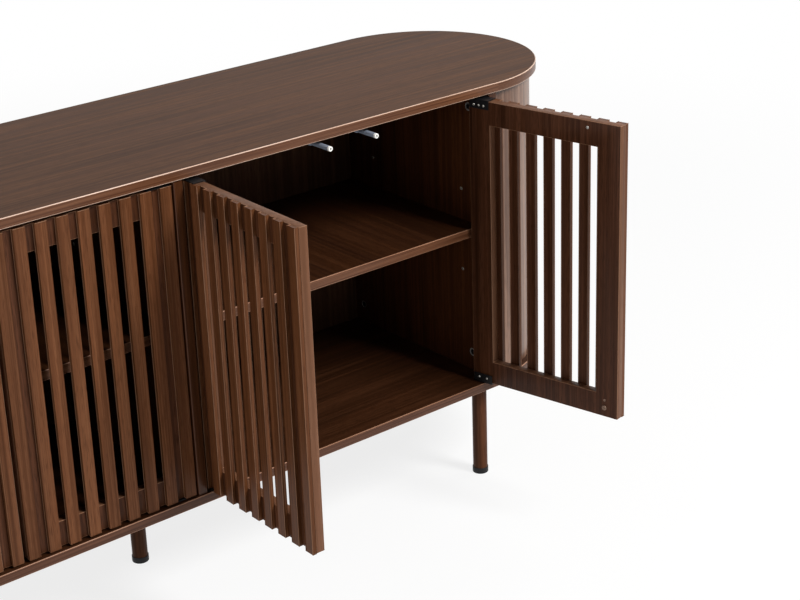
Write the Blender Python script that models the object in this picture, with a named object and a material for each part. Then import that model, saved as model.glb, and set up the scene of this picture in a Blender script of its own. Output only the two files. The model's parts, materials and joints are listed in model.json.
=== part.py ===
"""Round-ended walnut sideboard with two pairs of slatted, push-to-open doors.

The frame has +X to the right, +Y to the back and +Z up, with its origin on the floor under the
centre leg. Each door hangs from an empty on its own pivot line and stands as far open
as its rest angle says.
"""

import bpy
import bmesh
from math import cos, sin, pi, radians
from mathutils import Matrix, Vector

for stale in list(bpy.data.objects):
    bpy.data.objects.remove(stale, do_unlink=True)

# Carcass, in metres
HEIGHT = 0.748
DEPTH = 0.400
BOARD = 0.016
LEG_HEIGHT = 0.195
END_LEAD = 0.0020
SHELL = 0.009
SHELL_INSET = 0.011
FRONT_SETBACK = 0.0035
BACK_PANEL = 0.008
BACK_SETBACK = 0.006
ARRIS = 0.0008
GAP = 0.0003
ARC_STEPS = 48
GLUE = 0.0005

# Doors: slats glued on the front of a frame of two stiles and two rails
SLAT_COUNT = 9
SLAT_PITCH = 0.0346
SLAT_WIDTH = 0.0178
SLAT_THICK = 0.006
FRAME_THICK = 0.015
STILE_WIDTH = 0.042
RAIL_HEIGHT = 0.041
HINGE_GAP = 0.005
MEETING_GAP = 0.0098
DOOR_TOP_GAP = 0.0064
DOOR_BOTTOM_GAP = 0.0036
PIVOT_FROM_EDGE = 0.0105

# Rest angle of each door from closed, as the doors stand in use
RIGHT_DOOR_OPEN = radians(102.0)
INNER_RIGHT_DOOR_OPEN = radians(91.0)
INNER_LEFT_DOOR_OPEN = 0.0
LEFT_DOOR_OPEN = 0.0

# Pivot hinges: an angle plate with a pin that turns in a bore of the board
HINGE_SHEET = 0.0016
HINGE_LENGTH = 0.038
HINGE_DROP = 0.014
HINGE_EDGE = 0.002
PIN_RADIUS = 0.0028
PIN_ENTRY = 0.009
RUNNING_CLEARANCE = 0.0004

# Push latches under the top, each with a plunger that follows its door
LATCH_FROM_FREE_EDGE = 0.041
LATCH_DROP = 0.010
LATCH_WALL = 0.001
LATCH_LENGTH = 0.057
LATCH_FLOOR = 0.002
LATCH_NOSE = 0.004
LUG_WIDTH = 0.022
LUG_LENGTH = 0.016
LUG_THICK = 0.003
LUG_WEB = 0.0044
PLUNGER_RADIUS = 0.0041
PLUNGER_TIP_RADIUS = 0.0036
PLUNGER_TIP_BORE = 0.0022
PLUNGER_HOLLOW = 0.003
PLUNGER_STROKE = 0.045
PLUNGER_END_ROOM = 0.002
STRIKER_ROOM = 0.0019

# Shelves and their pins, and the pockets of the cam locks that draw the panels to the boards
SHELF_SETBACK = 0.030
SHELF_END_GAP = 0.0008
SHELF_RISE = 0.262
PIN_STEP = 0.0744
PIN_FROM_FRONT = 0.078
PIN_FROM_BACK = 0.081
SHELF_PIN_RADIUS = 0.0023
SHELF_PIN_DEEP = 0.0065
SHELF_PIN_OUT = 0.009
CAM_FROM_FRONT = 0.057
CAM_FROM_BACK = 0.036
CAM_FROM_END = 0.034
CAM_RADIUS = 0.0078
CAM_DEEP = 0.0125
BORE_LEAD = 0.001

# Legs, each in a cap and held by a bolt in its top
LEG_RADIUS = 0.0132
LEG_FROM_FRONT = 0.061
CENTRE_LEG_BACK = 0.018
CAP_WALL = 0.0008
CAP_FLOOR = 0.004
CAP_RISE = 0.011
BOLT_RADIUS = 0.004
BOLT_RISE = 0.011

# Sides of the round pieces
ROUND_STEPS = 24
SMALL_STEPS = 16
PIN_STEPS = 10

# Places that follow from the sizes above
middle = -CENTRE_LEG_BACK
front = middle - DEPTH / 2
back = middle + DEPTH / 2
end_radius = DEPTH / 2
door_width = (SLAT_COUNT - 1) * SLAT_PITCH + SLAT_WIDTH
door_thick = SLAT_THICK + GAP + FRAME_THICK
bay_width = 2 * door_width + 2 * HINGE_GAP + MEETING_GAP
partition_face = BOARD / 2
side_face = partition_face + bay_width
end_centre = side_face + BOARD + END_LEAD
bottom_top = LEG_HEIGHT + BOARD
top_under = HEIGHT - BOARD
panel_front = front + FRONT_SETBACK
panel_back = back - BACK_SETBACK
back_face = panel_back - BACK_PANEL
door_bottom = bottom_top + DOOR_BOTTOM_GAP
door_top = top_under - DOOR_TOP_GAP
pivot_y = panel_front + door_thick / 2
pivot_offset = HINGE_GAP + PIVOT_FROM_EDGE
closed_inner_face = panel_front + door_thick
latch_z = top_under - LATCH_DROP
latch_mouth = closed_inner_face + STRIKER_ROOM + LATCH_NOSE
latch_bore = PLUNGER_RADIUS + RUNNING_CLEARANCE
latch_radius = latch_bore + LATCH_WALL
plunger_length = LATCH_LENGTH - LATCH_FLOOR + LATCH_NOSE - PLUNGER_END_ROOM
pin_level = bottom_top + SHELF_RISE
pin_rows = (front + PIN_FROM_FRONT, back - PIN_FROM_BACK)
cam_rows = (front + CAM_FROM_FRONT, back - CAM_FROM_BACK)
cam_levels = (bottom_top + CAM_FROM_END, top_under - CAM_FROM_END)
leg_places = {
    "left_front_leg": (-end_centre, front + LEG_FROM_FRONT),
    "right_front_leg": (end_centre, front + LEG_FROM_FRONT),
    "left_back_leg": (-end_centre, back - LEG_FROM_FRONT),
    "right_back_leg": (end_centre, back - LEG_FROM_FRONT),
    "centre_leg": (0.0, 0.0),
}


def hex_colour(code):
    """Linear red, green and blue of an sRGB hex colour."""
    channels = [int(code[i:i + 2], 16) / 255 for i in (1, 3, 5)]
    return [c / 12.92 if c <= 0.04045 else ((c + 0.055) / 1.055) ** 2.4 for c in channels]


def material(name, code, roughness, metallic=0.0):
    """A Principled material of one colour."""
    made = bpy.data.materials.new(name)
    made.use_nodes = True
    shader = made.node_tree.nodes["Principled BSDF"]
    shader.inputs["Base Color"].default_value = (*hex_colour(code), 1.0)
    shader.inputs["Roughness"].default_value = roughness
    shader.inputs["Metallic"].default_value = metallic
    return made


walnut_board = material("walnut_board", "#5a3d2e", 0.38)
walnut_slat = material("walnut_slat", "#6b4630", 0.42)
walnut_back = material("walnut_back", "#4a3024", 0.50)
black_steel = material("black_steel", "#17181a", 0.45, 0.8)
black_plastic = material("black_plastic", "#141416", 0.55)
white_plastic = material("white_plastic", "#dfe4ea", 0.35)
bright_steel = material("bright_steel", "#c8c8c4", 0.30, 1.0)


def node(name, shape, finish, parent=None, place=(0, 0, 0), turn=(0, 0, 0), smooth=False):
    """Turns a bmesh into a named object with its material."""
    bmesh.ops.recalc_face_normals(shape, faces=shape.faces)
    mesh = bpy.data.meshes.new(name)
    shape.to_mesh(mesh)
    shape.free()
    mesh.materials.append(finish)
    if smooth:
        mesh.shade_smooth()
        mesh.set_sharp_from_angle(angle=radians(35))
    made = bpy.data.objects.new(name, mesh)
    made.location = place
    made.rotation_euler = turn
    made.parent = parent
    bpy.context.collection.objects.link(made)
    return made


def cut(target, shape, operation="DIFFERENCE"):
    """Cuts a bmesh out of an object, or joins it on."""
    tool = node(target.name + "_" + operation.lower(), shape, black_plastic, target.parent)
    tool.hide_render = True
    tool.display_type = "WIRE"
    step = target.modifiers.new(operation.lower(), "BOOLEAN")
    step.operation = operation
    step.solver = "EXACT"
    step.object = tool


def add_box(shape, low, high, arris=0.0):
    """Adds a block between two opposite corners, its edges eased by arris."""
    spans = [sorted(pair) for pair in zip(low, high)]
    size = Vector([b - a for a, b in spans])
    middle = Vector([(a + b) / 2 for a, b in spans])
    move = Matrix.Translation(middle) @ Matrix.Diagonal((*size, 1.0))
    made = bmesh.ops.create_cube(shape, size=1.0, matrix=move)
    if arris:
        edges = list({edge for vert in made["verts"] for edge in vert.link_edges})
        bmesh.ops.bevel(shape, geom=edges, offset=arris, segments=1, affect="EDGES")


def block(name, low, high, finish, parent=None, arris=ARRIS):
    """One rectangular piece."""
    shape = bmesh.new()
    add_box(shape, low, high, arris)
    return node(name, shape, finish, parent)


def add_turned(shape, profile, move=Matrix.Identity(4), steps=ROUND_STEPS):
    """Adds a solid turned about Z from (radius, height) points that run from axis to axis."""
    rings = []
    for radius, height in profile:
        if radius == 0:
            rings.append([shape.verts.new(move @ Vector((0, 0, height)))])
            continue
        angles = [2 * pi * i / steps for i in range(steps)]
        rings.append([shape.verts.new(move @ Vector((radius * cos(a), radius * sin(a), height)))
                      for a in angles])
    for lower, upper in zip(rings, rings[1:]):
        for i in range(steps):
            corners = [lower[i % len(lower)], lower[(i + 1) % len(lower)],
                       upper[(i + 1) % len(upper)], upper[i % len(upper)]]
            shape.faces.new(list(dict.fromkeys(corners)))


def add_rod(shape, radius, start, direction, length, steps=ROUND_STEPS):
    """Adds a plain round rod from a point along a direction."""
    turn = Vector((0, 0, 1)).rotation_difference(Vector(direction)).to_matrix().to_4x4()
    move = Matrix.Translation(start) @ turn
    add_turned(shape, [(0, 0), (radius, 0), (radius, length), (0, length)], move, steps)


def add_profile(shape, ends):
    """Adds a solid between two matching outlines of points, one at each end."""
    first, last = [[shape.verts.new(point) for point in outline] for outline in ends]
    shape.faces.new(first)
    shape.faces.new(last)
    for i in range(len(first)):
        j = (i + 1) % len(first)
        shape.faces.new((first[i], first[j], last[j], last[i]))


def add_prism(shape, outline, low, high):
    """Adds an upright prism over an outline of (x, y) points."""
    add_profile(shape, [[(x, y, z) for x, y in outline] for z in (low, high)])


def half_circle(radius, side):
    """Points of an end's half circle from front to back, at the right (1) or left (-1) end."""
    angles = [pi * (i / ARC_STEPS - 0.5) for i in range(ARC_STEPS + 1)]
    return [(side * (end_centre + radius * cos(a)), middle + radius * sin(a)) for a in angles]


# Doors, in the order they stand from left to right. hand is the way from the hinge to the free edge.
doors = (
    ("left_door", -(side_face - pivot_offset), 1, LEFT_DOOR_OPEN),
    ("inner_left_door", -(partition_face + pivot_offset), -1, INNER_LEFT_DOOR_OPEN),
    ("inner_right_door", partition_face + pivot_offset, 1, INNER_RIGHT_DOOR_OPEN),
    ("right_door", side_face - pivot_offset, -1, RIGHT_DOOR_OPEN),
)


# Top and bottom boards share one outline with two half-round ends
def stadium_board(name, low, high, inner_face, way):
    """A round-ended board, bored in its inner face for each door's pivot pin."""
    shape = bmesh.new()
    outline = half_circle(end_radius, 1) + half_circle(end_radius, -1)[::-1]
    add_prism(shape, outline, low, high)
    board = node(name, shape, walnut_board)
    ease = board.modifiers.new("eased_edge", "BEVEL")
    ease.width = ARRIS
    ease.segments = 1
    ease.limit_method = "ANGLE"
    ease.angle_limit = radians(60)
    bores = bmesh.new()
    for _, pivot_x, _, _ in doors:
        start = (pivot_x, pivot_y, inner_face - way * BORE_LEAD)
        depth = PIN_ENTRY + RUNNING_CLEARANCE + BORE_LEAD
        add_rod(bores, PIN_RADIUS + RUNNING_CLEARANCE, start, (0, 0, way), depth, SMALL_STEPS)
    return board, bores


top, top_bores = stadium_board("top_board", top_under, HEIGHT, top_under, 1)
cut(top, top_bores)
bottom, bottom_bores = stadium_board("bottom_board", LEG_HEIGHT, bottom_top, bottom_top, -1)
for x, y in leg_places.values():
    start = (x, y, LEG_HEIGHT - BORE_LEAD)
    add_rod(bottom_bores, BOLT_RADIUS + GAP, start, (0, 0, 1), BORE_LEAD + BOLT_RISE + GAP, SMALL_STEPS)
cut(bottom, bottom_bores)


# Upright panels between the boards, bored for shelf pins and cam locks
cam_places = [(y, z) for y in cam_rows for z in cam_levels]
pin_places = [(y, pin_level + step * PIN_STEP) for y in pin_rows for step in (-1, 0, 1)]


def add_bores(bores, face, places, radius, depth, steps):
    """Adds round bores at (y, z) places into a face, given as its x and the way into the board."""
    x, way = face
    for y, z in places:
        add_rod(bores, radius, (x - way * BORE_LEAD, y, z), (way, 0, 0), depth + BORE_LEAD, steps)


def upright(name, low_x, high_x, pin_faces, cam_face):
    """An upright panel, with pin holes in one or both faces."""
    low = (low_x, panel_front, bottom_top + GAP)
    high = (high_x, panel_back, top_under - GAP)
    panel = block(name, low, high, walnut_board)
    bores = bmesh.new()
    for face in pin_faces:
        add_bores(bores, face, pin_places, SHELF_PIN_RADIUS + GAP, SHELF_PIN_DEEP, PIN_STEPS)
    add_bores(bores, cam_face, cam_places, CAM_RADIUS, CAM_DEEP, SMALL_STEPS)
    cut(panel, bores)


left_outer = (-side_face, -1)
left_inner = (-partition_face, 1)
right_inner = (partition_face, -1)
right_outer = (side_face, 1)
upright("left_side_panel", -side_face - BOARD, -side_face, (left_outer,), left_outer)
upright("right_side_panel", side_face, side_face + BOARD, (right_outer,), right_outer)
upright("centre_partition", -partition_face, partition_face, (left_inner, right_inner), right_inner)


# Bent end shells, tangent to the front and back
for name, side in (("left_end_shell", -1), ("right_end_shell", 1)):
    outer = end_radius - SHELL_INSET
    butt = side * (side_face + BOARD + GAP)
    inner = outer - SHELL
    outline = [(butt, middle - outer)] + half_circle(outer, side) + [(butt, middle + outer)]
    outline += [(butt, middle + inner)] + half_circle(inner, side)[::-1] + [(butt, middle - inner)]
    shape = bmesh.new()
    add_prism(shape, outline, bottom_top + GAP, top_under - GAP)
    node(name, shape, walnut_board, smooth=True)


# Back panels, shelves and shelf pins, for each bay
for bay, side, faces in (("left", -1, (left_outer, left_inner)), ("right", 1, (right_outer, right_inner))):
    low = (side * (partition_face + GAP), back_face, bottom_top + GAP)
    high = (side * (side_face - GAP), panel_back, top_under - GAP)
    block(bay + "_back_panel", low, high, walnut_back, arris=0.0)
    shelf_low = pin_level + SHELF_PIN_RADIUS + GAP
    low = (side * (partition_face + SHELF_END_GAP), front + SHELF_SETBACK, shelf_low)
    high = (side * (side_face - SHELF_END_GAP), back_face - SHELF_END_GAP, shelf_low + BOARD)
    block(bay + "_shelf", low, high, walnut_board)
    for where, (face, way) in zip(("outer", "inner"), faces):
        for row, y in zip(("front", "back"), pin_rows):
            root = SHELF_PIN_DEEP - GAP
            shape = bmesh.new()
            add_rod(shape, SHELF_PIN_RADIUS, (face + way * root, y, pin_level), (-way, 0, 0),
                    root + SHELF_PIN_OUT, PIN_STEPS)
            node(f"{bay}_shelf_{where}_{row}_pin", shape, bright_steel, smooth=True)


# Legs: a round leg in a black cap, with its bolt up in the bottom board
cap_bore = LEG_RADIUS + GAP
cap_radius = cap_bore + CAP_WALL
cap_profile = [(0, 0), (cap_radius, 0), (cap_radius, CAP_RISE), (cap_bore, CAP_RISE),
               (cap_bore, CAP_FLOOR), (0, CAP_FLOOR)]
leg_foot = CAP_FLOOR + GAP
leg_head = LEG_HEIGHT - GAP
leg_profile = [(0, leg_foot), (LEG_RADIUS, leg_foot), (LEG_RADIUS, leg_head), (BOLT_RADIUS, leg_head),
               (BOLT_RADIUS, LEG_HEIGHT + BOLT_RISE), (0, LEG_HEIGHT + BOLT_RISE)]
for name, (x, y) in leg_places.items():
    for piece, profile, finish in (("", leg_profile, walnut_board), ("_cap", cap_profile, black_plastic)):
        shape = bmesh.new()
        add_turned(shape, profile)
        node(name + piece, shape, finish, place=(x, y, 0), smooth=True)


# Doors: a slat on each stile, and the slats between them glued to the two rails
def door_leaf(name, pivot, hand):
    """Two stiles and the slatted panel between them."""
    slat_face = -door_thick / 2
    slat_back = slat_face + SLAT_THICK
    frame_back = door_thick / 2

    def add_piece(shape, start, width, low_y, high_y, low_z, high_z):
        near = hand * (start - PIVOT_FROM_EDGE)
        far = near + hand * width
        add_box(shape, (near, low_y, low_z), (far, high_y, high_z), ARRIS)

    last_slat = (SLAT_COUNT - 1) * SLAT_PITCH
    for part, start, slat_at in (("_hinge_stile", 0, 0), ("_free_stile", door_width - STILE_WIDTH, last_slat)):
        shape = bmesh.new()
        add_piece(shape, start, STILE_WIDTH, slat_back + GAP, frame_back, door_bottom, door_top)
        stile = node(name + part, shape, walnut_slat, pivot)
        slat = bmesh.new()
        add_piece(slat, slat_at, SLAT_WIDTH, slat_face, slat_back + GAP + GLUE, door_bottom, door_top)
        cut(stile, slat, "UNION")

    rail_start = STILE_WIDTH + GAP
    rail_width = door_width - 2 * rail_start
    rails = bmesh.new()
    for low_z in (door_bottom, door_top - RAIL_HEIGHT):
        add_piece(rails, rail_start, rail_width, slat_back - GLUE, frame_back, low_z, low_z + RAIL_HEIGHT)
    panel = node(name + "_slat_panel", rails, walnut_slat, pivot)
    slats = bmesh.new()
    for i in range(1, SLAT_COUNT - 1):
        add_piece(slats, i * SLAT_PITCH, SLAT_WIDTH, slat_face, slat_back, door_bottom, door_top)
    cut(panel, slats, "UNION")


def hinge_plate(name, pivot, hand, way):
    """An angle plate on a door's top (way 1) or bottom (way -1) hinge corner, with its pivot pin."""
    end = door_top if way > 0 else door_bottom
    near = hand * (HINGE_EDGE - PIVOT_FROM_EDGE)
    far = near + hand * HINGE_LENGTH
    seat = end + way * GAP
    crown = seat + way * HINGE_SHEET
    wall = door_thick / 2 + GAP
    rear = wall + HINGE_SHEET
    nose = -door_thick / 2 + HINGE_EDGE
    shape = bmesh.new()
    lip = end - way * HINGE_DROP
    profile = [(nose, seat), (wall, seat), (wall, lip), (rear, lip), (rear, crown), (nose, crown)]
    add_profile(shape, [[(x, y, z) for y, z in profile] for x in (near, far)])
    plate = node(name, shape, black_steel, pivot)
    board = top_under if way > 0 else bottom_top
    start = seat + way * HINGE_SHEET / 2
    reach = abs(board - start) + PIN_ENTRY
    pin = bmesh.new()
    add_rod(pin, PIN_RADIUS, (0, 0, start), (0, 0, way), reach, SMALL_STEPS)
    cut(plate, pin, "UNION")


# Push latches, each a tube open to the front and hung from the top by a T-shaped lug
def latch(name, x):
    """A latch's tube and lug."""
    move = Matrix.Translation((x, latch_mouth, latch_z)) @ Matrix.Rotation(-pi / 2, 4, "X")
    floor = LATCH_LENGTH - LATCH_FLOOR
    profile = [(0, floor), (latch_bore, floor), (latch_bore, 0), (latch_radius, 0),
               (latch_radius, LATCH_LENGTH), (0, LATCH_LENGTH)]
    tube = bmesh.new()
    add_turned(tube, profile, move, SMALL_STEPS)
    body = node(name, tube, white_plastic, smooth=True)
    root = latch_z + latch_bore + LATCH_WALL / 2
    crown = top_under - GAP
    under = crown - LUG_THICK
    web = LUG_WEB / 2
    wing = LUG_WIDTH / 2
    outline = [(-web, root), (web, root), (web, under), (wing, under), (wing, crown), (-wing, crown),
               (-wing, under), (-web, under)]
    start = latch_mouth + (LATCH_LENGTH - LUG_LENGTH) / 2
    lug = bmesh.new()
    add_profile(lug, [[(x + across, y, z) for across, z in outline] for y in (start, start + LUG_LENGTH)])
    cut(body, lug, "UNION")


def plunger(name, x, angle):
    """A latch's hollow-tipped plunger, out as far as its stroke while its door stands open."""
    rim = plunger_length - PLUNGER_HOLLOW
    profile = [(0, 0), (PLUNGER_RADIUS, 0), (PLUNGER_RADIUS, rim), (PLUNGER_TIP_RADIUS, plunger_length),
               (PLUNGER_TIP_BORE, plunger_length), (PLUNGER_TIP_BORE, rim), (0, rim)]
    shape = bmesh.new()
    add_turned(shape, profile, steps=SMALL_STEPS)
    out = PLUNGER_STROKE if angle else 0.0
    heel = latch_mouth - LATCH_NOSE + plunger_length - out
    node(name, shape, white_plastic, place=(x, heel, latch_z), turn=(pi / 2, 0, 0), smooth=True)


for name, pivot_x, hand, angle in doors:
    pivot = bpy.data.objects.new(name + "_pivot", None)
    pivot.location = (pivot_x, pivot_y, 0)
    pivot.rotation_euler = (0, 0, -hand * angle)
    bpy.context.collection.objects.link(pivot)
    door_leaf(name, pivot, hand)
    hinge_plate(name + "_top_hinge", pivot, hand, 1)
    hinge_plate(name + "_bottom_hinge", pivot, hand, -1)
    latch_x = pivot_x + hand * (door_width - PIVOT_FROM_EDGE - LATCH_FROM_FREE_EDGE)
    latch(name + "_latch", latch_x)
    plunger(name + "_plunger", latch_x, angle)
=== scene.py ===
"""The looks of a round-ended walnut sideboard with two pairs of slatted doors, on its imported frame.

The sections follow the sideboard as it is put together, from the caps under its legs to the
screws on its doors. Lengths are in metres unless a name says millimetres.
"""

import json
import math

import bmesh
import bpy
from mathutils import Matrix, Vector

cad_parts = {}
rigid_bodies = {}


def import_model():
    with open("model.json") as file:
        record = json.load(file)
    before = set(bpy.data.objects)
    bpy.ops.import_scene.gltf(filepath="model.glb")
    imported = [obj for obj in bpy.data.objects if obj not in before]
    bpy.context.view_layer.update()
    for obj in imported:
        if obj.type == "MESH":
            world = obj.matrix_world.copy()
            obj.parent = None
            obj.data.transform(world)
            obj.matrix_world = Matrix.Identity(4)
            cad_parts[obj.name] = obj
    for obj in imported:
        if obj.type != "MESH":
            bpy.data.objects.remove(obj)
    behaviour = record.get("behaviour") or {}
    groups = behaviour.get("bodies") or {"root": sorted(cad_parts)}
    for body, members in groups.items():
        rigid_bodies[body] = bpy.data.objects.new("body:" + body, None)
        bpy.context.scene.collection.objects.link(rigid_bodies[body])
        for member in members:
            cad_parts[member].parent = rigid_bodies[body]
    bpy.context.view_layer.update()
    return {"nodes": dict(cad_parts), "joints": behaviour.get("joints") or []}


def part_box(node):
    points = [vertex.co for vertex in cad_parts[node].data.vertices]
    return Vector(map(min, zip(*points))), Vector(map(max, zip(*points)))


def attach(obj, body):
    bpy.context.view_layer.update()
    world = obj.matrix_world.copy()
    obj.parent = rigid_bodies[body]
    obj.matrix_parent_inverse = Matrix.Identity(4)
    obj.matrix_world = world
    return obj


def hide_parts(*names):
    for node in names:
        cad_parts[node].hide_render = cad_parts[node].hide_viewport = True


for stale in list(bpy.data.objects):
    bpy.data.objects.remove(stale, do_unlink=True)
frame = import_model()
nodes = frame["nodes"]


# Leg caps
# Each of the five legs stands in a black cap, pushed on from below to save the floor. It is moulded
# in polypropylene, with a fine even grain from the mould and a softly rounded rim and foot.
CAP_ROUNDING = 0.0012
CAP_BLACK = "#0e0e0f"
CAP_RUBBED = "#19181a"
CAP_GRAIN_MM = 0.9
CAP_GRAIN_DEPTH = 0.0002
CAP_RELIEF = 0.25
CAP_IOR = 1.49
CAP_ROUGHNESS = (0.42, 0.62)
CAP_GLOSS = 0.25
ROUND_STEPS = 48
EASE_STEPS = 4
RIM_STEPS = 6
SHARP = math.radians(38)
leg_names = ("left_front_leg", "right_front_leg", "left_back_leg", "right_back_leg", "centre_leg")


def linear(code):
    """The linear colour of an sRGB hex value."""
    parts = [int(code[i:i + 2], 16) / 255 for i in (1, 3, 5)]
    return [p / 12.92 if p <= 0.04045 else ((p + 0.055) / 1.055) ** 2.4 for p in parts] + [1.0]


def add(tree, kind, inputs, **settings):
    """Adds a node with its settings. An input is given a value, or the output that feeds it."""
    made = tree.nodes.new("ShaderNode" + kind)
    for name, value in settings.items():
        setattr(made, name, value)
    for name, value in inputs.items():
        if isinstance(value, bpy.types.NodeSocket):
            tree.links.new(value, made.inputs[name])
        else:
            made.inputs[name].default_value = value
    return made


def start_material(name):
    """A new material, and its empty node tree."""
    made = bpy.data.materials.new(name)
    made.use_nodes = True
    made.node_tree.nodes.clear()
    return made, made.node_tree


def arc(centre, radius, start, end, steps):
    """Points on an arc, from one angle to another in degrees."""
    angles = [math.radians(start + (end - start) * i / steps) for i in range(steps + 1)]
    return [(centre[0] + radius * math.cos(a), centre[1] + radius * math.sin(a)) for a in angles]


def add_turned(shape, profile, place, steps=ROUND_STEPS):
    """Adds a body turned about Z, from (radius, height) points that start and end on the axis."""
    rings = []
    for radius, height in profile:
        count = steps if radius > 0 else 1
        angles = [2 * math.pi * i / count for i in range(count)]
        ring = [Vector((radius * math.cos(a), radius * math.sin(a), height)) for a in angles]
        rings.append([shape.verts.new(place @ point) for point in ring])
    for low, high in zip(rings, rings[1:]):
        for i in range(steps):
            k = i + 1
            corners = [low[i % len(low)], low[k % len(low)], high[k % len(high)], high[i % len(high)]]
            # A ring of one point gives the same corner twice, and the face is a triangle.
            shape.faces.new(dict.fromkeys(corners))


def piece(name, shape, finishes, body):
    """Makes an object of a mesh, with round stretches shaded smooth, and lets it ride on a body."""
    shape.normal_update()
    bmesh.ops.recalc_face_normals(shape, faces=shape.faces[:])
    mesh = bpy.data.meshes.new(name)
    shape.to_mesh(mesh)
    shape.free()
    for finish in finishes:
        mesh.materials.append(finish)
    mesh.shade_smooth()
    mesh.set_sharp_from_angle(angle=SHARP)
    made = bpy.data.objects.new(name, mesh)
    bpy.context.scene.collection.objects.link(made)
    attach(made, body)
    return made


def moulded_polypropylene():
    """Moulded polypropylene: a waxy black with a fine pebbled grain that breaks up the gloss."""
    made, tree = start_material("moulded_black_polypropylene")
    place = add(tree, "TexCoord", {}).outputs["Object"]
    grain = add(tree, "TexNoise", {"Vector": place, "Scale": 1000 / CAP_GRAIN_MM, "Detail": 2.0})
    colour = add(tree, "Mix", {0: grain.outputs["Fac"], 6: linear(CAP_BLACK), 7: linear(CAP_RUBBED)},
                 data_type="RGBA")
    rough = add(tree, "MapRange", {"Value": grain.outputs["Fac"], "To Min": CAP_ROUGHNESS[0],
                                   "To Max": CAP_ROUGHNESS[1]})
    bump = add(tree, "Bump", {"Height": grain.outputs["Fac"], "Strength": CAP_RELIEF,
                              "Distance": CAP_GRAIN_DEPTH})
    surface = add(tree, "BsdfPrincipled", {"Base Color": colour.outputs[2], "Roughness": rough.outputs[0],
                                           "Normal": bump.outputs[0], "IOR": CAP_IOR,
                                           "Specular IOR Level": CAP_GLOSS})
    add(tree, "OutputMaterial", {"Surface": surface.outputs[0]})
    return made


cap_finish = moulded_polypropylene()
for leg in leg_names:
    low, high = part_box(leg + "_cap")
    centre = (low + high) / 2
    radius = (high.x - low.x) / 2
    rise = high.z - low.z
    leg_low, leg_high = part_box(leg)
    leg_radius = (leg_high.x - leg_low.x) / 2
    foot = arc((radius - CAP_ROUNDING, CAP_ROUNDING), CAP_ROUNDING, -90, 0, EASE_STEPS)
    rim_rounding = (radius - leg_radius) / 2
    rim = arc((radius - rim_rounding, rise - rim_rounding), rim_rounding, 0, 180, RIM_STEPS)
    profile = [(0, 0), *foot, *rim, (radius - 2 * rim_rounding, leg_low.z), (0, leg_low.z)]
    shape = bmesh.new()
    add_turned(shape, profile, Matrix.Translation((centre.x, centre.y, low.z)))
    cap = piece(leg + "_cap_moulding", shape, [cap_finish], "carcass")
    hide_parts(leg + "_cap")


# Legs
# The legs are round, of beech dowel wrapped in walnut film, each screwed up into the bottom
# board by the bolt in its head. The film's grain runs up the leg, and its head is eased.
LEG_EASE = 0.001
LEG_TONES = ("#3a200f", "#4d2c1a", "#623c26")
LEG_ROUGHNESS = 0.40
# The axis that a film's grain follows.
GRAIN_X, GRAIN_Y, GRAIN_Z = range(3)
FILM_PORE_DEPTH = 0.00012
FILM_RELIEF = 0.2
FILM_IOR = 1.48
FILM_ROUGHNESS_SPREAD = 0.08
FILM_BAND_LENGTH_MM = 900
FILM_STREAK_LENGTH_MM = 420
FILM_PORE_MM = (1.4, 22)
# Where each noise starts to show, and where it shows in full.
BAND_SHOWS = (0.34, 0.66)
STREAK_SHOWS = (0.42, 0.72)
PORE_SHOWS = (0.52, 0.72)
PORE_STRENGTH = 0.75
STRIP_APART = (3.1, 4.7, 7.9)
STRIP_DEPTHS = (0.9, 1.1)


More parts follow.
